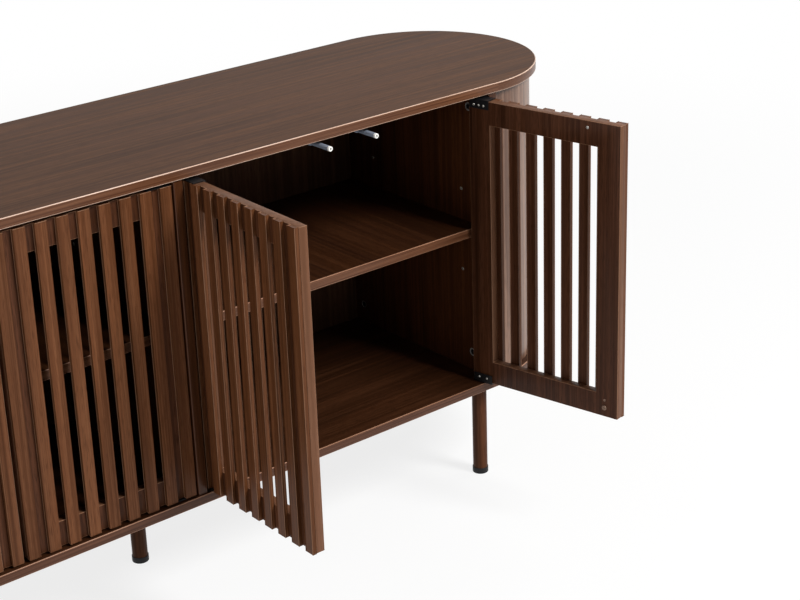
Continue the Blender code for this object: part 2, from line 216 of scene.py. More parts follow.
def walnut_film(name, along, tones, roughness, band_mm=34, streak_mm=5.5, figure=0.6, gloss=0.1,
                cut_apart=False):
    """Walnut-print film: soft bands and long streaks along the grain, with short dark pores pressed in.

    along is the axis that the grain follows, and tones are dark, middle and light. figure is how far
    the streaks go to the light tone, and gloss is the film's share of mirror reflection.
    cut_apart gives each separate strip of a piece its own stretch of the film.
    """
    made, tree = start_material(name)
    place = add(tree, "TexCoord", {}).outputs["Object"]
    if cut_apart:
        # Strips from other stretches of the film: far enough apart that no figure carries over.
        strip = add(tree, "NewGeometry", {}).outputs["Random Per Island"]
        apart = add(tree, "VectorMath", {0: strip, 1: STRIP_APART}, operation="MULTIPLY")
        place = add(tree, "VectorMath", {0: place, 1: apart.outputs[0]}, operation="ADD").outputs[0]

    def grain(across_mm, along_mm, detail, distortion):
        """Noise drawn out along the grain."""
        scale = [1000 / across_mm] * 3
        scale[along] = 1000 / along_mm
        stretched = add(tree, "Mapping", {"Vector": place, "Scale": scale})
        inputs = {"Vector": stretched.outputs[0], "Scale": 1.0, "Detail": detail, "Distortion": distortion}
        return add(tree, "TexNoise", inputs).outputs["Fac"]

    band = grain(band_mm, FILM_BAND_LENGTH_MM, 2.0, 0.5)
    streak = grain(streak_mm, FILM_STREAK_LENGTH_MM, 4.0, 0.2)
    # Real pores are about 0.2 mm wide: these are drawn coarser, so that they show.
    pore = grain(*FILM_PORE_MM, 1.0, 0.0)
    banding = add(tree, "MapRange", {"Value": band, "From Min": BAND_SHOWS[0], "From Max": BAND_SHOWS[1]})
    streaking = add(tree, "MapRange", {"Value": streak, "From Min": STREAK_SHOWS[0],
                                       "From Max": STREAK_SHOWS[1], "To Max": figure})
    pitting = add(tree, "MapRange", {"Value": pore, "From Min": PORE_SHOWS[0], "From Max": PORE_SHOWS[1],
                                     "To Max": PORE_STRENGTH})
    ground = add(tree, "Mix", {0: banding.outputs[0], 6: linear(tones[0]), 7: linear(tones[1])},
                 data_type="RGBA")
    streaked = add(tree, "Mix", {0: streaking.outputs[0], 6: ground.outputs[2], 7: linear(tones[2])},
                   data_type="RGBA")
    colour = add(tree, "Mix", {0: pitting.outputs[0], 6: streaked.outputs[2], 7: linear(tones[0])},
                 data_type="RGBA")
    if cut_apart:
        # Neighbouring strips differ a little in depth of colour.
        lift = add(tree, "MapRange", {"Value": strip, "To Min": STRIP_DEPTHS[0], "To Max": STRIP_DEPTHS[1]})
        colour = add(tree, "Mix", {0: 1.0, 6: colour.outputs[2], 7: lift.outputs[0]}, data_type="RGBA",
                     blend_type="MULTIPLY")
    rough = add(tree, "MapRange", {"Value": streak, "To Min": roughness - FILM_ROUGHNESS_SPREAD,
                                   "To Max": roughness + FILM_ROUGHNESS_SPREAD})
    height = add(tree, "Math", {0: streak, 1: pitting.outputs[0]}, operation="SUBTRACT")
    bump = add(tree, "Bump", {"Height": height.outputs[0], "Strength": FILM_RELIEF,
                              "Distance": FILM_PORE_DEPTH})
    surface = add(tree, "BsdfPrincipled", {"Base Color": colour.outputs[2], "Roughness": rough.outputs[0],
                                           "Normal": bump.outputs[0], "IOR": FILM_IOR,
                                           "Specular IOR Level": gloss})
    add(tree, "OutputMaterial", {"Surface": surface.outputs[0]})
    return made


leg_finish = walnut_film("walnut_film_on_legs", GRAIN_Z, LEG_TONES, LEG_ROUGHNESS, band_mm=16, streak_mm=3.5)
for leg in leg_names:
    low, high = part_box(leg)
    centre = (low + high) / 2
    radius = (high.x - low.x) / 2
    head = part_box("bottom_board")[0].z
    ease = arc((radius - LEG_EASE, head - LEG_EASE), LEG_EASE, 0, 90, EASE_STEPS)
    shape = bmesh.new()
    profile = [(0, low.z), (radius, low.z), *ease, (0, head)]
    add_turned(shape, profile, Matrix.Translation((centre.x, centre.y, 0)))
    stem = piece(leg + "_stem", shape, [leg_finish], "carcass")
    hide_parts(leg)


# Bottom board
# A round-ended chipboard panel, 16 mm thick, that carries everything else and takes the leg bolts.
# Both faces have walnut film along the length, and an edge band is ironed on all round. The film is
# darker than the film outside, partly as painted shade, and the band is darker than the others as painted
# shade.
# Darker than the film outside, partly as painted shade of the cabinet's inside.
BOTTOM_FILM_AND_SHADE_TONES = ("#28150a", "#3a2011", "#4d2e1c")
BOARD_ROUGHNESS = 0.36
# Paler arrises of the bands: partly print rubbed thin, partly painted highlight.
BAND_ARRIS_HIGHLIGHT_TONES = ("#7d563e", "#94694f", "#a87f66")
# The bottom board's band is darker than the other bands: painted shade.
LOW_BAND_SHADE_TONES = ("#3a2012", "#4c2d1d", "#5f3d2b")
BAND_GLOSS = 0.2
BAND_ROUGHNESS = 0.30
BAND_PROUD = 0.0004
BOARD_ARRIS = 0.0008
BAND_STEPS = 5
END_STEPS = 64
BAND_STREAK_MM = (260, 2.4)
BAND_CLOUD_MM = 180
BAND_STREAK_SHOWS = (0.4, 0.7)
BAND_ROUGHNESS_SPREAD = 0.05
BAND_IOR = 1.52
BAND_RELIEF = 0.1


def edge_band(name, tones):
    """ABS edge band: walnut print along its length, redder and glossier than the film beside it."""
    made, tree = start_material(name)
    place = add(tree, "UVMap", {}, uv_map="band").outputs[0]
    scale = (1000 / BAND_STREAK_MM[0], 1000 / BAND_STREAK_MM[1], 1.0)
    stretched = add(tree, "Mapping", {"Vector": place, "Scale": scale})
    streak = add(tree, "TexNoise", {"Vector": stretched.outputs[0], "Scale": 1.0, "Detail": 3.0})
    broad = add(tree, "TexNoise", {"Vector": place, "Scale": 1000 / BAND_CLOUD_MM, "Detail": 1.0})
    base = add(tree, "Mix", {0: broad.outputs["Fac"], 6: linear(tones[0]), 7: linear(tones[1])},
               data_type="RGBA")
    streaking = add(tree, "MapRange", {"Value": streak.outputs["Fac"], "From Min": BAND_STREAK_SHOWS[0],
                                       "From Max": BAND_STREAK_SHOWS[1]})
    colour = add(tree, "Mix", {0: streaking.outputs[0], 6: base.outputs[2], 7: linear(tones[2])},
                 data_type="RGBA")
    rough = add(tree, "MapRange", {"Value": streak.outputs["Fac"],
                                   "To Min": BAND_ROUGHNESS - BAND_ROUGHNESS_SPREAD,
                                   "To Max": BAND_ROUGHNESS + BAND_ROUGHNESS_SPREAD})
    bump = add(tree, "Bump", {"Height": streak.outputs["Fac"], "Strength": BAND_RELIEF,
                              "Distance": FILM_PORE_DEPTH})
    surface = add(tree, "BsdfPrincipled", {"Base Color": colour.outputs[2], "Roughness": rough.outputs[0],
                                           "Normal": bump.outputs[0], "IOR": BAND_IOR,
                                           "Specular IOR Level": BAND_GLOSS})
    add(tree, "OutputMaterial", {"Surface": surface.outputs[0]})
    return made


def add_band(shape, stations, thickness, closed):
    """Adds an edge band along a board's edge, rounded at both arrises, which take the second finish.

    A station is a point at mid-thickness of the edge, the way out of the board and the way across it.
    """
    ease = BOARD_ARRIS + BAND_PROUD
    half = thickness / 2
    section = arc((-BOARD_ARRIS, ease - half), ease, -90, 0, BAND_STEPS)
    section += arc((-BOARD_ARRIS, half - ease), ease, 0, 90, BAND_STEPS)
    print_map = shape.loops.layers.uv.new("band")
    rings = []
    for point, out, across in stations:
        rings.append([shape.verts.new(point + out * a + across * b) for a, b in section])
    run = [0.0]
    turn = stations + stations[:1] if closed else stations
    for (here, _, _), (there, _, _) in zip(turn, turn[1:]):
        run.append(run[-1] + (there - here).length)
    rise = [0.0]
    for here, there in zip(section, section[1:] + section[:1]):
        rise.append(rise[-1] + math.dist(here, there))
    count = len(section)
    for i in range(len(turn) - 1):
        here, there = rings[i], rings[(i + 1) % len(rings)]
        for k in range(count):
            face = shape.faces.new((here[k], there[k], there[(k + 1) % count], here[(k + 1) % count]))
            places = ((run[i], rise[k]), (run[i + 1], rise[k]),
                      (run[i + 1], rise[k + 1]), (run[i], rise[k + 1]))
            face.material_index = int(k != BAND_STEPS and k != count - 1)
            for loop, place in zip(face.loops, places):
                loop[print_map].uv = place
    if not closed:
        shape.faces.new(rings[0])
        shape.faces.new(rings[-1])


def round_ended_stations(node):
    """Stations all round the edge of a round-ended board."""
    low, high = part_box(node)
    centre = (low + high) / 2
    radius = (high.y - low.y) / 2
    end = high.x - radius
    found = []
    for end_x, start in ((end, -90), (-end, 90)):
        for out_x, out_y in arc((0, 0), 1, start, start + 180, END_STEPS):
            out = Vector((out_x, out_y, 0))
            found.append((Vector((end_x, centre.y, centre.z)) + radius * out, out, Vector((0, 0, 1))))
    return found


bottom_shaded_finish = walnut_film("walnut_film_on_bottom", GRAIN_X, BOTTOM_FILM_AND_SHADE_TONES, BOARD_ROUGHNESS)
low_band_shade_and_highlight_finishes = [edge_band("dark_walnut_abs_edge_band", LOW_BAND_SHADE_TONES),
                     edge_band("walnut_abs_band_arris", BAND_ARRIS_HIGHLIGHT_TONES)]
board_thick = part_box("bottom_board")[1].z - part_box("bottom_board")[0].z
nodes["bottom_board"].data.materials[0] = bottom_shaded_finish
shape = bmesh.new()
add_band(shape, round_ended_stations("bottom_board"), board_thick, True)
piece("bottom_board_edge_band", shape, low_band_shade_and_highlight_finishes, "carcass")


# Side panels and centre partition
# Three upright chipboard panels stand between the boards, held by dowels and cam locks. The film's
# grain runs up them, and their front edges are banded. Their pin holes and cam pockets are bored.
# Darker than the film outside, partly as painted shade of the cabinet's inside.
UPRIGHT_FILM_AND_SHADE_TONES = ("#341b0d", "#492814", "#603921")
UPRIGHT_ROUGHNESS = 0.40
# The uprights' front bands are darker than the shelves' bands: painted shade. Their arrises take the bottom
# board's dark band, which is painted shade too.
POST_BAND_SHADE_TONES = ("#2f170a", "#3e210f", "#512f1a")
uprights = ("left_side_panel", "centre_partition", "right_side_panel")
upright_shaded_finish = walnut_film("walnut_film_on_uprights", GRAIN_Z, UPRIGHT_FILM_AND_SHADE_TONES, UPRIGHT_ROUGHNESS, band_mm=26)
post_shade_finishes = [edge_band("upright_walnut_abs_edge_band", POST_BAND_SHADE_TONES), low_band_shade_and_highlight_finishes[0]]
for name in uprights:
    nodes[name].data.materials[0] = upright_shaded_finish
    low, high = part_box(name)
    middle = (low.x + high.x) / 2
    stations = [(Vector((middle, low.y, z)), Vector((0, -1, 0)), Vector((1, 0, 0))) for z in (low.z, high.z)]
    shape = bmesh.new()
    add_band(shape, stations, high.x - low.x, False)
    piece(name + "_edge_band", shape, post_shade_finishes, "carcass")


# Back panels
# Two thin fibreboard panels close the back, fitted between the uprights and flush with them. Their
# film is plainer than the boards', with the grain upright.
BACK_TONES = ("#3b2619", "#543727", "#6d4e3a")
BACK_ROUGHNESS = 0.50
back_finish = walnut_film("walnut_film_on_backs", GRAIN_Z, BACK_TONES, BACK_ROUGHNESS, band_mm=48,
                          streak_mm=7)
for name in ("left_back_panel", "right_back_panel"):
    nodes[name].data.materials[0] = back_finish


# Bent end shells
# Each end is closed by a half-round shell of bendable board, wrapped in walnut film with its grain
# upright and butted to the side panel. The bend draws the film smooth, so it shines more, and its
# tones are written paler than the film elsewhere as painted sheen.
# Paler than the film elsewhere: painted sheen.
SHELL_SHEEN_TONES = ("#4b3122", "#704f3d", "#92735f")
SHELL_GLOSS = 0.5
SHELL_ROUGHNESS = 0.33
SHELL_THICK = 0.009
shell_sheen_finish = walnut_film("walnut_film_on_bent_shells", GRAIN_Z, SHELL_SHEEN_TONES, SHELL_ROUGHNESS, band_mm=20,
                           streak_mm=6, figure=0.8, gloss=SHELL_GLOSS)
for name, side in (("left_end_shell", -1), ("right_end_shell", 1)):
    low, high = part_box(name)
    radius = (high.y - low.y) / 2
    butt = low.x if side > 0 else high.x
    tip = high.x if side > 0 else low.x
    centre = (tip - side * radius, (low.y + high.y) / 2)
    outline = [(butt, low.y), *arc(centre, radius, -90, -90 + side * 180, END_STEPS), (butt, high.y)]
    inner = radius - SHELL_THICK
    outline += [(butt, high.y - SHELL_THICK), *arc(centre, inner, -90 + side * 180, -90, END_STEPS)]
    outline += [(butt, low.y + SHELL_THICK)]
    shape = bmesh.new()
    foot = [shape.verts.new((x, y, low.z)) for x, y in outline]
    head = [shape.verts.new((x, y, high.z)) for x, y in outline]
    count = len(outline)
    for i in range(count):
        shape.faces.new((foot[i], foot[(i + 1) % count], head[(i + 1) % count], head[i]))
    # The strip's two ends are closed between the matching points of its outer and inner line.
    for i in range(count // 2 - 1):
        for ring in (foot, head):
            shape.faces.new((ring[i], ring[i + 1], ring[count - 2 - i], ring[count - 1 - i]))
    shell = piece(name + "_wrap", shape, [shell_sheen_finish], "carcass")
    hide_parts(name)


# Cam locks
# A cam sits in each pocket of the uprights. A quarter turn in its cross slot pulls the dowel from the
# board tight. Its ring is die-cast zinc, with a dull cloudy skin, and its core is black plastic.
CAM_RADIUS = 0.0074
CAM_CORE_RADIUS = 0.0055
CAM_CORE_SUNK = 0.0008
CAM_RISE = 0.0095
CAM_SUNK = 0.0003
CAM_EASE = 0.0007
CAM_SLOT = (0.0038, 0.0009, 0.0030)
CAM_FROM_FRONT = 0.057
CAM_FROM_BACK = 0.036
CAM_FROM_END = 0.034
FINE_EASE_STEPS = 3
ZINC = ("#8d8c8a", "#c2c0bc")
ZINC_GRAIN_MM = 1.2
ZINC_PIT_DEPTH = 0.0001
ZINC_RELIEF = 0.3
ZINC_ROUGHNESS = (0.30, 0.52)
# The dull oxide skin hides much of the metal.
ZINC_METALLIC = 0.4


def die_cast_zinc():
    """Die-cast zinc: a grey metal with a cloudy, slightly pitted skin from the mould."""
    made, tree = start_material("die_cast_zinc")
    place = add(tree, "TexCoord", {}).outputs["Object"]
    cloud = add(tree, "TexNoise", {"Vector": place, "Scale": 1000 / ZINC_GRAIN_MM, "Detail": 4.0})
    colour = add(tree, "Mix", {0: cloud.outputs["Fac"], 6: linear(ZINC[0]), 7: linear(ZINC[1])},
                 data_type="RGBA")
    rough = add(tree, "MapRange", {"Value": cloud.outputs["Fac"], "To Min": ZINC_ROUGHNESS[0],
                                   "To Max": ZINC_ROUGHNESS[1]})
    bump = add(tree, "Bump", {"Height": cloud.outputs["Fac"], "Strength": ZINC_RELIEF,
                              "Distance": ZINC_PIT_DEPTH})
    surface = add(tree, "BsdfPrincipled", {"Base Color": colour.outputs[2], "Metallic": ZINC_METALLIC,
                                           "Roughness": rough.outputs[0], "Normal": bump.outputs[0]})
    add(tree, "OutputMaterial", {"Surface": surface.outputs[0]})
    return made


def add_cross_head(shape, radius, rise, ease, slot, place):
    """Adds a round head with an eased edge and a cross slot, which has a reach, half width and depth."""
    reach, half, depth = slot
    angles = [2 * math.pi * i / ROUND_STEPS for i in range(ROUND_STEPS)]
    rings = []
    for r, z in ((radius, 0), *arc((radius - ease, rise - ease), ease, 0, 90, FINE_EASE_STEPS)):
        rings.append([shape.verts.new(place @ Vector((r * math.cos(a), r * math.sin(a), z))) for a in angles])
    quarter = [(reach, -half), (reach, half), (half, half)]
    cross = []
    for turn in range(4):
        c, s = round(math.cos(turn * math.pi / 2)), round(math.sin(turn * math.pi / 2))
        cross += [(x * c - y * s, x * s + y * c) for x, y in quarter]
    lip = [shape.verts.new(place @ Vector((x, y, rise))) for x, y in cross]
    floor = [shape.verts.new(place @ Vector((x, y, rise - depth))) for x, y in cross]
    for low, high in [*zip(rings, rings[1:]), (floor, lip)]:
        for i in range(len(low)):
            k = (i + 1) % len(low)
            shape.faces.new((low[i], low[k], high[k], high[i]))
    shape.faces.new(rings[0])
    shape.faces.new(floor)
    border = []
    for ring in (rings[-1], lip):
        border += [shape.edges.get((ring[i - 1], ring[i])) for i in range(len(ring))]
    bmesh.ops.triangle_fill(shape, use_beauty=True, edges=border)


def add_ring(shape, section, place, steps=ROUND_STEPS):
    """Adds a ring turned about Z, from the (radius, height) points round its section."""
    rings = []
    for radius, height in section:
        circle = arc((0, 0), radius, 0, 360, steps)[:-1]
        rings.append([shape.verts.new(place @ Vector((x, y, height))) for x, y in circle])
    for low, high in zip(rings, rings[1:] + rings[:1]):
        for i in range(steps):
            shape.faces.new((low[i - 1], low[i], high[i], high[i - 1]))


zinc_finish = die_cast_zinc()
top_low, top_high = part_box("top_board")
bottom_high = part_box("bottom_board")[1]
cam_rows = (top_low.y + CAM_FROM_FRONT, top_high.y - CAM_FROM_BACK)
cam_levels = (bottom_high.z + CAM_FROM_END, top_low.z - CAM_FROM_END)
cam_faces = {
    "left_side_panel": (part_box("left_side_panel")[1].x, 1),
    "centre_partition": (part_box("centre_partition")[1].x, 1),
    "right_side_panel": (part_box("right_side_panel")[0].x, -1),
}
for name, (face, way) in cam_faces.items():
    rings, cores = bmesh.new(), bmesh.new()
    edge = arc((CAM_RADIUS - CAM_EASE, CAM_RISE - CAM_EASE), CAM_EASE, 0, 90, FINE_EASE_STEPS)
    section = [(CAM_CORE_RADIUS, 0), (CAM_RADIUS, 0), *edge, (CAM_CORE_RADIUS, CAM_RISE)]
    for y in cam_rows:
        for z in cam_levels:
            seat = Vector((face - way * (CAM_SUNK + CAM_RISE), y, z))
            place = Matrix.Translation(seat) @ Matrix.Rotation(way * math.pi / 2, 4, "Y")
            add_ring(rings, section, place)
            add_cross_head(cores, CAM_CORE_RADIUS, CAM_RISE - CAM_CORE_SUNK, CAM_EASE, CAM_SLOT, place)
    piece(name + "_cam_rings", rings, [zinc_finish], "carcass")
    piece(name + "_cam_cores", cores, [cap_finish], "carcass")


# Shelf pins
# Four turned steel pins carry each shelf, pushed into bored holes. The spare holes above and below are
# lined with flanged sleeves. All are nickel plated: bright, slightly warm and a little uneven.
NICKEL = ("#a8a49c", "#d2cfc8")
PLATE_GRAIN_MM = 0.6
STEEL_ROUGHNESS = (0.20, 0.38)
STEEL_METALLIC = 0.7
PIN_STEP = 0.0744
SLEEVE_RADIUS = 0.0024
SLEEVE_BORE = 0.0014
SLEEVE_DEEP = 0.005
FLANGE_RADIUS = 0.0029
FLANGE = 0.0005
SLEEVE_STEPS = 24


def plated_steel(name, tones):
    """Plated steel: a thin bright plate, over a fine unevenness left by turning that blurs the gloss."""
    made, tree = start_material(name)
    place = add(tree, "TexCoord", {}).outputs["Object"]
    uneven = add(tree, "TexNoise", {"Vector": place, "Scale": 1000 / PLATE_GRAIN_MM, "Detail": 3.0})
    colour = add(tree, "Mix", {0: uneven.outputs["Fac"], 6: linear(tones[0]), 7: linear(tones[1])},
                 data_type="RGBA")
    rough = add(tree, "MapRange", {"Value": uneven.outputs["Fac"], "To Min": STEEL_ROUGHNESS[0],
                                   "To Max": STEEL_ROUGHNESS[1]})
    surface = add(tree, "BsdfPrincipled", {"Base Color": colour.outputs[2], "Metallic": STEEL_METALLIC,
                                           "Roughness": rough.outputs[0]})
    add(tree, "OutputMaterial", {"Surface": surface.outputs[0]})
    return made


nickel_finish = plated_steel("nickel_plated_steel", NICKEL)
pin_names = [name for name in nodes if "_shelf_" in name and name.endswith("_pin")]
for name in pin_names:
    nodes[name].data.materials[0] = nickel_finish
sleeve = [(SLEEVE_BORE, -SLEEVE_DEEP), (SLEEVE_RADIUS, -SLEEVE_DEEP), (SLEEVE_RADIUS, 0), (FLANGE_RADIUS, 0),
          *arc((FLANGE_RADIUS - FLANGE, 0), FLANGE, 0, 90, FINE_EASE_STEPS), (SLEEVE_BORE, FLANGE)]
shape = bmesh.new()
for name in pin_names:
    low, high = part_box(name)
    outer_way = 1 if name.startswith("left") else -1
    way = outer_way if "_outer_" in name else -outer_way
    panel = "centre_partition" if "_inner_" in name else name.split("_")[0] + "_side_panel"
    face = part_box(panel)[1 if way > 0 else 0].x
    for step in (-PIN_STEP, PIN_STEP):
        seat = Vector((face, (low.y + high.y) / 2, (low.z + high.z) / 2 + step))
        place = Matrix.Translation(seat) @ Matrix.Rotation(way * math.pi / 2, 4, "Y")
        add_ring(shape, sleeve, place, SLEEVE_STEPS)
piece("spare_pin_sleeves", shape, [nickel_finish], "carcass")


# Shelves
# One loose chipboard shelf lies on the pins of each bay. Its film runs from front to back, and only
# its front edge is banded.
# Two steps darker than the film outside, partly as painted shade of the cabinet's inside.
SHELF_FILM_AND_SHADE_TONES = ("#26130a", "#361d0e", "#492b18")
BAND_TONES = ("#442616", "#593622", "#6e4933")
band_finish = edge_band("walnut_abs_edge_band", BAND_TONES)
shelf_shaded_finish = walnut_film("walnut_film_on_shelves", GRAIN_Y, SHELF_FILM_AND_SHADE_TONES, UPRIGHT_ROUGHNESS, band_mm=40)
for name in ("left_shelf", "right_shelf"):
    nodes[name].data.materials[0] = shelf_shaded_finish
    low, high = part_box(name)
    middle = (low.z + high.z) / 2
    stations = [(Vector((x, low.y, middle)), Vector((0, -1, 0)), Vector((0, 0, 1))) for x in (low.x, high.x)]
    shape = bmesh.new()
    add_band(shape, stations, high.z - low.z, False)
    piece(name + "_edge_band", shape, [band_finish, low_band_shade_and_highlight_finishes[1]], "carcass")


# Top board
# The same round-ended panel as the bottom board closes the top, and is drawn down on the uprights
# by their cam locks. Its edge is banded all round, and the arris above the doors is painted nearly white
# as a highlight.
TOP_TONES = ("#392315", "#4d3120", "#63432d")
TOP_GLOSS = 0.025
# A painted highlight: the arris above the doors is written nearly white.
TOP_ARRIS_HIGHLIGHT_TONES = ("#b08c76", "#c9a892", "#dcc0ae")
top_finish = walnut_film("walnut_film_on_top", GRAIN_X, TOP_TONES, BOARD_ROUGHNESS, band_mm=60, streak_mm=7,
                         figure=0.9, gloss=TOP_GLOSS)
top_arris_highlight = edge_band("polished_walnut_abs_arris", TOP_ARRIS_HIGHLIGHT_TONES)
nodes["top_board"].data.materials[0] = top_finish
shape = bmesh.new()
add_band(shape, round_ended_stations("top_board"), board_thick, True)
piece("top_board_edge_band", shape, [band_finish, top_arris_highlight], "carcass")


# Push latches
# Under the top, each door has a latch of blue-grey ABS, screwed up by its lug. Its sprung plunger
# pushes the door open after a press, and has a hollow white tip that spares the door.
ABS_GREY = ("#727b8b", "#8e97a6")
ABS_WHITE = ("#dcdad4", "#efeeea")
ABS_MOTTLE_MM = 6
ABS_RIPPLE = 0.0002
ABS_RELIEF = 0.1
ABS_ROUGHNESS = (0.26, 0.40)
ABS_IOR = 1.54
TIP_LENGTH = 0.004
TIP_PROUD = 0.0005
TIP_BORE = 0.0018


def moulded_abs(name, tones):
    """Moulded ABS: smooth, with a soft mottle where the melt flowed together."""
    made, tree = start_material(name)
    place = add(tree, "TexCoord", {}).outputs["Object"]
    mottle = add(tree, "TexNoise", {"Vector": place, "Scale": 1000 / ABS_MOTTLE_MM, "Detail": 3.0})
    colour = add(tree, "Mix", {0: mottle.outputs["Fac"], 6: linear(tones[0]), 7: linear(tones[1])},
                 data_type="RGBA")
    rough = add(tree, "MapRange", {"Value": mottle.outputs["Fac"], "To Min": ABS_ROUGHNESS[0],
                                   "To Max": ABS_ROUGHNESS[1]})
    bump = add(tree, "Bump", {"Height": mottle.outputs["Fac"], "Strength": ABS_RELIEF,
                              "Distance": ABS_RIPPLE})
    surface = add(tree, "BsdfPrincipled", {"Base Color": colour.outputs[2], "Roughness": rough.outputs[0],
                                           "Normal": bump.outputs[0], "IOR": ABS_IOR})
    add(tree, "OutputMaterial", {"Surface": surface.outputs[0]})
    return made


latch_finish = moulded_abs("moulded_blue_grey_abs", ABS_GREY)
tip_finish = moulded_abs("moulded_white_abs", ABS_WHITE)
hinges = [joint for joint in frame["joints"] if joint["type"] == "hinge"]
door_names = [joint["child"] for joint in hinges]
for door in door_names:
    nodes[door + "_latch"].data.materials[0] = latch_finish
    nodes[door + "_plunger"].data.materials[0] = latch_finish
    low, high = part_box(door + "_plunger")
    radius = (high.x - low.x) / 2
    edge = arc((radius - TIP_PROUD, TIP_LENGTH - TIP_PROUD), TIP_PROUD, 0, 90, FINE_EASE_STEPS)
    section = [(TIP_BORE, 0), (radius, 0), *edge, (TIP_BORE, TIP_LENGTH)]
    shape = bmesh.new()
    seat = Vector(((low.x + high.x) / 2, low.y + TIP_LENGTH - TIP_PROUD, (low.z + high.z) / 2))
    add_ring(shape, section, Matrix.Translation(seat) @ Matrix.Rotation(math.pi / 2, 4, "X"))
    piece(door + "_plunger_tip", shape, [tip_finish], door + "_plunger")


# Pivot bushes
# Each door turns on two pins. Black nylon bushes are pressed into the boards round them, and their
# flanges stand between the hinge plates and the film.
BUSH_RADIUS = 0.0062
BUSH_BORE = 0.0033
BUSH_FLANGE = 0.0009
BUSH_EASE = 0.0004
for joint in hinges:
    x, y, _ = joint["pos_m"]
    shape = bmesh.new()
    for z, turn in ((top_low.z, math.pi), (bottom_high.z, 0)):
        edge = arc((BUSH_RADIUS - BUSH_EASE, BUSH_FLANGE - BUSH_EASE), BUSH_EASE, 0, 90, FINE_EASE_STEPS)
        section = [(BUSH_BORE, 0), (BUSH_RADIUS, 0), *edge, (BUSH_BORE, BUSH_FLANGE)]
        add_ring(shape, section, Matrix.Translation((x, y, z)) @ Matrix.Rotation(turn, 4, "X"))
    piece(joint["child"] + "_pivot_bushes", shape, [cap_finish], "carcass")


# Door frames
# A door's frame is two stiles with two rails between them, of fibreboard dowelled and glued together,
# then wrapped in film with its grain upright all over. The film on its two broad sides is darker
# than the one round its edges, partly as painted shade: it darkens the door's inside and, as of the
# outer side only what lies between the slats shows, the recesses between the slats.
SLAT_THICK = 0.006
RAIL_HEIGHT = 0.041
GLUE_LINE = 0.0003
STRIP_ARRIS = 0.0007
FRAME_TONES = ("#583a28", "#6f4a35", "#825e48")
# Darker than the edges' film, partly as painted shade.
INNER_FILM_AND_SHADE_TONES = ("#30190c", "#482918", "#613c29")
FRAME_ROUGHNESS = 0.40
# Paler arrises: partly film drawn thin over them, partly painted highlight.
ARRIS_HIGHLIGHT_TONES = ("#72503a", "#8a654d", "#9c7860")
ARRIS_ROUGHNESS = 0.28


def finish_strip(shape, corners, edges, place):
    """Rounds a strip's arrises, which take the second finish.

    Its inner side takes the third finish, its face the fourth and the rest the first.
    """
    inward = place.to_3x3() @ Vector((0, 1, 0))
    middle = sum((corner.co for corner in corners), Vector()) / len(corners)
    for face in {face for corner in corners for face in corner.link_faces}:
        rise = (face.calc_center_median() - middle).dot(inward)
        face.material_index = 2 if rise > STRIP_ARRIS else 3 if rise < -STRIP_ARRIS else 0
    bmesh.ops.bevel(shape, geom=edges, offset=STRIP_ARRIS, segments=2, profile=0.5, affect="EDGES",
                    material=1)


def add_frame(shape, outer, inner, place):
    """Adds a door's frame as one ring, from the (x, z) corners of its outline and of its opening."""
    # The corners come side by side, and this order goes round.
    order = (0, 1, 3, 2)
    loops = []
    for y in (frame_face, inner_face):
        for ring in (outer, inner):
            loops.append([shape.verts.new(place @ Vector((ring[i][0], y, ring[i][1]))) for i in order])
    mitres = []
    for a, b in ((0, 1), (1, 3), (3, 2), (2, 0)):
        for i in range(4):
            k = (i + 1) % 4
            shape.faces.new((loops[a][i], loops[a][k], loops[b][k], loops[b][i]))
    for a, b in ((0, 1), (2, 3)):
        mitres += [shape.edges.get((loops[a][i], loops[b][i])) for i in range(4)]
    corners = [vert for loop in loops for vert in loop]
    bmesh.ops.recalc_face_normals(shape, faces=shape.faces[:])
    edges = [edge for edge in shape.edges if edge not in mitres]
    finish_strip(shape, corners, edges, place)


frame_finish = walnut_film("walnut_film_on_door_frames", GRAIN_Z, FRAME_TONES, FRAME_ROUGHNESS, band_mm=24,
                           streak_mm=4.5, figure=0.5, cut_apart=True)
inner_shaded_finish = walnut_film("walnut_film_on_door_insides", GRAIN_Z, INNER_FILM_AND_SHADE_TONES, FRAME_ROUGHNESS, band_mm=22,
                           streak_mm=5, figure=0.6, cut_apart=True)
arris_highlight_finish = walnut_film("walnut_film_drawn_over_arrises", GRAIN_Z, ARRIS_HIGHLIGHT_TONES, ARRIS_ROUGHNESS,
                           band_mm=24, streak_mm=4.5)
# The left door is shut at rest, so its nodes give the sizes that all four doors share.
stile_low, stile_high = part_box("left_door_hinge_stile")
free_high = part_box("left_door_free_stile")[1]
left_pivot = Vector(hinges[0]["pos_m"])
door_low, door_high = stile_low.z, stile_high.z
door_width = free_high.x - stile_low.x
stile_width = stile_high.x - stile_low.x
pivot_from_edge = left_pivot.x - stile_low.x
slat_face = stile_low.y - left_pivot.y
inner_face = stile_high.y - left_pivot.y
frame_face = slat_face + SLAT_THICK + GLUE_LINE
door_hands = {"left_door": 1, "inner_left_door": -1, "inner_right_door": 1, "right_door": -1}
door_places = {}
for joint in hinges:
    # A door that stands open at rest has its shut position at the far end of its range.
    hand = door_hands[joint["child"]]
    shut = joint["range_deg"][1] if hand > 0 else joint["range_deg"][0]
    x, y, _ = joint["pos_m"]
    door_places[joint["child"]] = Matrix.Translation((x, y, 0)) @ Matrix.Rotation(math.radians(-shut), 4, "Z")


def on_door(hand, from_edge):
    """The door's own x of a point at a distance from its hinge edge."""
    return hand * (from_edge - pivot_from_edge)


